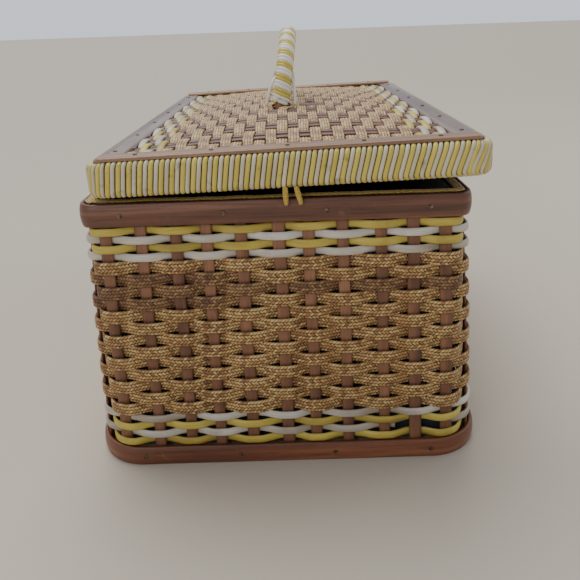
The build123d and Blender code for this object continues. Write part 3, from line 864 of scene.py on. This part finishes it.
def lid_column(name, x, index, half_w, half_t, material, plait, step, gap=None):
    """One cane or braid along the lid, over and under the pairs."""
    end = FIELD_Y + 8.5 * MM
    v = np.arange(-end, end, step)
    u = np.full(len(v), x) + wander(len(v), 10, 0.35 * MM, closed=False)
    pairs = pair_places()
    t = (v - pairs[0]) / PAIR_PITCH
    swing = np.cos(math.pi * (t + index))
    swing = np.sign(swing) * np.abs(swing) ** 0.7
    fade = np.clip((FIELD_Y + 6 * MM - np.abs(v)) / (10 * MM), 0, 1)
    w = WEAVE_W + dome(u, v) + LID_SWING * swing * fade + (1 - fade) * 1.4 * MM
    w += wander(len(v), 12, 0.2 * MM, closed=False)
    for side in (-1, 1):
        near_leg = np.exp(-(((v - side * HANDLE_R) / (9 * MM)) ** 2))
        push = np.sign(x - HANDLE_X) * np.clip(10.5 * MM - abs(x - HANDLE_X), 0, None)
        u = u + push * near_leg
    pieces = []
    spans = [(v[0], v[-1])] if gap is None else [(v[0], gap[0]), (gap[1], v[-1])]
    for k, (a, b) in enumerate(spans):
        keep = (v >= a) & (v <= b)
        points = on_lid(np.column_stack([u[keep], v[keep], w[keep]]))
        widths = half_w * (1 + wander(len(points), 10, 0.05, closed=False))
        pieces.append(strand(f"{name}_{k}", points, LID_AXES[2], LID_AXES[0], widths, half_t, False,
                             material, plait=plait, sections=10, squareness=0.75, tint=index * 0.31))
    return pieces


LID_BREAK_X, LID_BREAK = 18 * MM, (-55 * MM, -36 * MM)  # a worn-away bit of one braid


def make_lid_weave():
    """Cane and braid columns of the lid."""
    canes = {"yellow": [], "white": []}
    pitch = 5.5 * MM
    edge = [(FIELD_X - pitch * (i + 0.5), ("white", "yellow")[i % 2]) for i in range(LID_CANES)]
    span = 2 * (FIELD_X - pitch * LID_CANES)
    step = span / LID_BRAIDS
    columns = [(-x, kind) for x, kind in edge]
    columns += [((i + 0.5) * step - span / 2, "braid") for i in range(LID_BRAIDS)]
    columns += reversed(edge)
    braids = []
    for index, (x, kind) in enumerate(columns):
        if kind == "braid":
            gap = LID_BREAK if abs(x - LID_BREAK_X) < step / 2 else None
            braids += lid_column(f"lid_braid_{index}", x, index, *LID_BRAID_HALF, LID_BRAID,
                                 PLAIT_PITCH, 0.6 * MM, gap)
        else:
            material = YELLOW_CANE if kind == "yellow" else WHITE_CANE
            canes[kind] += lid_column(f"lid_cane_{index}", x, index, *LID_CANE_HALF, material, None,
                                      1.6 * MM)
    finish_piece(joined("lid_braid_columns", braids), "lid", "straw_braid", "lid_braids")
    for kind, pieces in canes.items():
        piece = joined(f"lid_cane_columns_{kind}", pieces)
        finish_piece(piece, "lid", f"{kind}_cane", f"lid_canes_{kind}")


RIM_PITCH = 6.25 * MM  # one yellow and one white cord
RIM_LIP = 2.4 * MM  # how far the cords stand up beside the strips
RIM_LEAN = 5.0 * MM  # how far a cord's foot trails its head at the free side
CORD_ROUND = 3.2 * MM  # how round the cords' turns are


def make_rim_wrap():
    """Two cords wound side by side round the hoop, leaning more towards the free side."""
    inset = RIM_T / 2
    flat, normals = rounded_rect(LID_W - 2 * inset, LID_L - 2 * inset, LID_CORNER - inset, 1.0 * MM)
    at = np.append(*distances(flat))
    face_at = np.append(*distances(flat + normals * inset))
    length = at[-1]
    half_out, half_up = RIM_T / 2 - 1.0 * MM, (RIM_H - RIM_TOP) / 2 - 1.0 * MM
    loop, loop_normals = rounded_rect(half_out * 2, half_up * 2, CORD_ROUND, 1.1 * MM)
    loop_at = np.append(*distances(loop))
    turns = round(face_at[-1] / RIM_PITCH)
    per_turn = 30
    middle_w = -(RIM_H + RIM_TOP) / 2
    q = np.arange(turns * per_turn) / per_turn
    share = q % 1 * loop_at[-1]
    place = read_loop(loop, loop_at, share)
    facing = unit(read_loop(loop_normals, loop_at, share))
    for name, start, half_w, material in (
        ("rim_cord_yellow", 0.0, 1.44 * MM, RIM_YELLOW),
        ("rim_cord_white", 0.5, 1.28 * MM, RIM_WHITE),
    ):
        s = np.interp((q + start) / turns * face_at[-1] % face_at[-1], face_at, at)
        x = read_loop(flat, at, s % length)[:, 0]
        lean = np.clip(0.5 + x / LID_W, 0, 1) ** 2.0 * RIM_LEAN
        outside = np.clip(place[:, 0] / half_out, -1, 1)
        s = s - lean * outside * (0.5 - place[:, 1] / (2 * half_up))
        s = (s + wander(len(s), 40, 0.3 * MM)) % length
        base = read_loop(flat, at, s)
        normal = unit(read_loop(normals, at, s))
        clear = np.maximum(np.clip((outside - 0.15) / 0.35, 0, 1), normal[:, 1] ** 2)
        lip = RIM_LIP * clear * (0.5 + place[:, 1] / (2 * half_up))
        local = np.column_stack([base + normal * place[:, :1], middle_w + place[:, 1] + lip])
        out = np.column_stack([normal * facing[:, :1], facing[:, 1]])
        side = np.column_stack([-normal[:, 1], normal[:, 0], np.zeros(len(s))])
        in_corner = np.abs(base[:, 0]) > LID_W / 2 - LID_CORNER
        in_corner &= np.abs(base[:, 1]) > LID_L / 2 - LID_CORNER
        radius = LID_CORNER - inset
        scale = np.where(in_corner, np.clip((radius + place[:, 0]) / LID_CORNER, 0.3, 1.0), 1.0)
        piece = strand(name, on_lid(local), turned(out), turned(side), half_w * scale, 1.15 * MM, True,
                       material, sections=10, squareness=0.95)
        finish_piece(piece, "lid", "rim_cord")
    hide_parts("lid_rim_wrap")
    # The hoop's dark wood is painted shade in the gaps between the rim cords.
    paint("lid_rim_hoop", HOOP_WOOD_SHADE)


TAILS = ((4.0 * MM, 0.4 * MM), (10.5 * MM, 2.6 * MM))  # each end's place and how far it leans


def make_lid_rest():
    """Strips, lining, gimp and the two hanging ends."""
    for node in ("lid_strip_near", "lid_strip_far"):
        paint(node, STRIP_ACROSS)
    for node in ("lid_strip_left", "lid_strip_right"):
        # The side strips' greyed colour is a painted sheen of reflected sky.
        paint(node, STRIP_ALONG_SHEEN)

    half_x, half_y = LID_W / 2 - RIM_T - 0.6 * MM, LID_L / 2 - RIM_T - 0.6 * MM
    low = Vector((-half_x, -half_y, 0))
    high = Vector((half_x, half_y, 2.4 * MM))
    cloth = pad("lid_lining_pad", low, high, 5 * MM, 0.9 * MM, LINING, buttons=42 * MM)
    flip = Matrix(((1, 0, 0, 0), (0, -1, 0, 0), (0, 0, -1, 0), (0, 0, 0, 1)))
    axes = Matrix([[*row, 0] for row in LID_AXES.T] + [[0, 0, 0, 1]])
    lid_place = Matrix.Translation(LID_ORIGIN) @ axes
    drop = Matrix.Translation((0, 0, -6.6 * MM))
    cloth.data.transform(lid_place @ drop @ flip)
    finish_piece(cloth, "lid", "lining_cloth", "lid_lining")

    inset = RIM_T + 0.3 * MM
    low = Vector((-LID_W / 2 + inset, -LID_L / 2 + inset, -RIM_H - 1.2 * MM))
    high = Vector((LID_W / 2 - inset, LID_L / 2 - inset, -RIM_H + 5.8 * MM))
    gimp = gimp_ring("lid_gimp", low, high, LID_CORNER - inset + 1.2 * MM)
    gimp.data.transform(lid_place)
    finish_piece(gimp, "lid", "gimp", "lid_trim")

    low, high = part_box("trim_tails")
    pieces = []
    for k, (x, lean) in enumerate(TAILS):
        for strand_index in range(3):
            t = np.linspace(0, 1, 40)
            angle = t * 2 * math.pi * 2.4 + strand_index * 2 * math.pi / 3
            swell = 0.95 * MM * np.sin(math.pi * np.clip(t * 0.86 + 0.14, 0, 1)) ** 0.4
            px = x + lean * t + swell * np.cos(angle)
            py = (low.y + high.y) / 2 + swell * np.sin(angle)
            pz = high.z + 0.8 * MM - t * (high.z - low.z)
            points = np.column_stack([px, py, pz])
            centre = np.column_stack([x + lean * t, np.full(40, (low.y + high.y) / 2), pz])
            out = unit(points - centre + 1e-9)
            pieces.append(strand(f"tail_{k}_{strand_index}", points, out, UP, 1.0 * MM, 0.8 * MM,
                                 False, GIMP, sections=8))
    finish_piece(joined("gimp_tails", pieces), "lid", "gimp", "trim_tails")


# ---- handle ----
def handle_frame():
    """Base centre of the arch, its sideways axis and its upright."""
    joint = next(j for j in frame["record"]["behaviour"]["joints"] if j["name"] == "handle_lean")
    base = np.array(joint["pos_m"])
    co = np.array([v.co for v in cad_object("handle_wrap").data.vertices])
    top = co[co[:, 2] > co[:, 2].max() - 4 * MM].mean(0)
    lean = math.atan2(top[0] - base[0], top[2] - base[2])
    across = np.array([math.cos(lean), 0.0, -math.sin(lean)])
    upright = np.array([math.sin(lean), 0.0, math.cos(lean)])
    return base, across, upright


HANDLE_PITCH = 9.8 * MM
LASHING_RISE = 18 * MM  # height at which a lashing passes its leg
HANDLE_STRANDS = (("yellow", 2.35), ("yellow", 2.35), ("white", 2.5), ("white", 2.5))


def make_handle():
    """Four flat strands wound round the arch: two narrow yellow, then two wider white."""
    base, across, upright = handle_frame()
    arch = math.pi * HANDLE_R
    turns = round(arch / HANDLE_PITCH)
    count = turns * 22
    made = {"yellow": [], "white": []}
    total = sum(width for _, width in HANDLE_STRANDS)
    used = 0.0
    for k, (kind, width) in enumerate(HANDLE_STRANDS):
        share = (used + width / 2) / total
        used += width
        t = np.linspace(0, 1, count)
        bend = math.pi * t
        spin = -2 * math.pi * (turns * t + share)
        radial = np.outer(-np.cos(bend), [0, 1, 0]) + np.outer(np.sin(bend), upright)
        out = radial * np.cos(spin)[:, None] + across * np.sin(spin)[:, None]
        radius = HANDLE_TUBE - 0.75 * MM + wander(count, 20, 0.15 * MM, closed=False)
        points = base + radial * HANDLE_R + out * radius[:, None]
        tangent = np.outer(np.sin(bend), [0, 1, 0]) + np.outer(np.cos(bend), upright)
        material = RIM_YELLOW if kind == "yellow" else HANDLE_WHITE
        # Turns crowd on the inside of the arch and spread on its outside.
        widths = width / 2 * (arch / turns / total) * 0.97 * (1 + 0.13 * np.cos(spin))
        made[kind].append(strand(f"handle_{kind}_{k}", points, out, tangent, widths, 0.8 * MM,
                                 False, material, sections=10))
    yellow = joined("handle_cord_yellow", made["yellow"])
    white = joined("handle_cord_white", made["white"])
    finish_piece(yellow, "handle", "handle_wrap", "handle_wrap")
    finish_piece(white, "handle", "handle_wrap")
    paint("handle_core", HANDLE_CANE)

    for side, node in ((-1, "lashing_near"), (1, "lashing_far")):
        leg = side * HANDLE_R
        lean_in = HANDLE_R - math.sqrt(HANDLE_R**2 - LASHING_RISE**2)
        clear = HANDLE_TUBE + 1.2 * MM
        high = leg - side * lean_in
        rising = [
            (-11.0 * MM, leg, -2.5 * MM),
            (-10.2 * MM, leg - side * 0.5 * MM, 5 * MM),
            (-8.4 * MM, high, 13.5 * MM),
            (-6.2 * MM, high - side * 4.4 * MM, 18.2 * MM),
        ]
        top = (0, high - side * (clear + 0.4 * MM), 19.6 * MM)
        falling = [(-x, y, z) for x, y, z in reversed(rising)]
        points = smooth_run(np.array([*rising, top, *falling]), 12)
        world = base + np.outer(points[:, 0], across) + np.outer(points[:, 1], [0, 1, 0])
        world += np.outer(points[:, 2], upright)
        middle = world.mean(0)
        out = unit(world - middle)
        cord = strand(node + "_cord", world, out, np.array([0.0, 1.0, 0.3]), 1.15 * MM, 1.15 * MM, False,
                      WHITE_CORD, sections=12, squareness=1.0)
        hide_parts(node)
        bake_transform(cord)


def smooth_run(knots, per_span):
    """A Catmull-Rom run through the knots."""
    ends = np.vstack([2 * knots[0] - knots[1], knots, 2 * knots[-1] - knots[-2]])
    run = []
    for k in range(1, len(ends) - 2):
        a, b, c, d = ends[k - 1 : k + 3]
        for t in np.arange(per_span) / per_span:
            run.append(0.5 * (2 * b + (c - a) * t + (2 * a - 5 * b + 4 * c - d) * t**2
                              + (3 * b - a - 3 * c + d) * t**3))
    run.append(knots[-1])
    return np.array(run)


# ---- stage ----
def make_stage():
    """Pale floor, soft lights and the camera."""
    mesh = bpy.data.meshes.new("floor")
    half = 30.0
    corners = [(-half, -half, 0), (half, -half, 0), (half, half, 0), (-half, half, 0)]
    mesh.from_pydata(corners, [], [(0, 1, 2, 3)])
    floor = in_scene("floor", mesh)
    s = Surface("floor", roughness=0.75)
    s.shader.inputs["Base Color"].default_value = linear((193, 183, 167))
    mesh.materials.append(s.material)

    world = bpy.data.worlds.new("studio")
    world.use_nodes = True
    tree = world.node_tree
    ambient = tree.nodes["Background"]
    backdrop = tree.nodes.new("ShaderNodeBackground")
    for shade, strength in ((ambient, 0.58), (backdrop, 1.25)):
        shade.inputs["Color"].default_value = linear((214, 220, 230))
        shade.inputs["Strength"].default_value = strength
    seen = tree.nodes.new("ShaderNodeLightPath")
    either = tree.nodes.new("ShaderNodeMixShader")
    tree.links.new(seen.outputs["Is Camera Ray"], either.inputs[0])
    tree.links.new(ambient.outputs[0], either.inputs[1])
    tree.links.new(backdrop.outputs[0], either.inputs[2])
    tree.links.new(either.outputs[0], tree.nodes["World Output"].inputs["Surface"])
    bpy.context.scene.world = world
    data = bpy.data.lights.new("sky_light", "SUN")
    data.energy, data.angle, data.color = 2.6, math.radians(50), (1.0, 0.985, 0.96)
    lamp = in_scene("sky_light", data)
    lamp.rotation_euler = Vector((0.35, -0.75, -1.5)).to_track_quat("-Z", "Y").to_euler()
    for name, place, size, power, colour in (
        ("front_fill", (-0.9, -1.5, 0.9), 1.2, 7.0, (1.0, 0.97, 0.94)),
        ("side_fill", (1.4, 0.3, 0.8), 1.0, 4.0, (0.95, 0.97, 1.0)),
    ):
        data = bpy.data.lights.new(name, "AREA")
        data.energy, data.size, data.color = power, size, colour
        lamp = in_scene(name, data)
        lamp.location = place
        aim = Vector((0, 0, 0.12)) - Vector(place)
        lamp.rotation_euler = aim.to_track_quat("-Z", "Y").to_euler()

    data = bpy.data.cameras.new("camera")
    data.sensor_width = 36
    data.lens = 39.12
    data.shift_y = -0.1466
    camera = in_scene("camera", data)
    camera.location = (9.6 * MM, -540.0 * MM, 272.5 * MM)
    pitch, roll, yaw = math.radians(16.0), math.radians(2.04), math.radians(-0.49)
    camera.rotation_euler = (
        Euler((math.pi / 2 - pitch, 0, -yaw)).to_matrix() @ Euler((0, 0, -roll)).to_matrix()
    ).to_euler()
    bpy.context.scene.camera = camera


make_stage()
make_stakes()
make_rows()
make_bands()
make_lining()
make_lid_stakes()
make_lid_weave()
make_rim_wrap()
make_lid_rest()
make_handle()
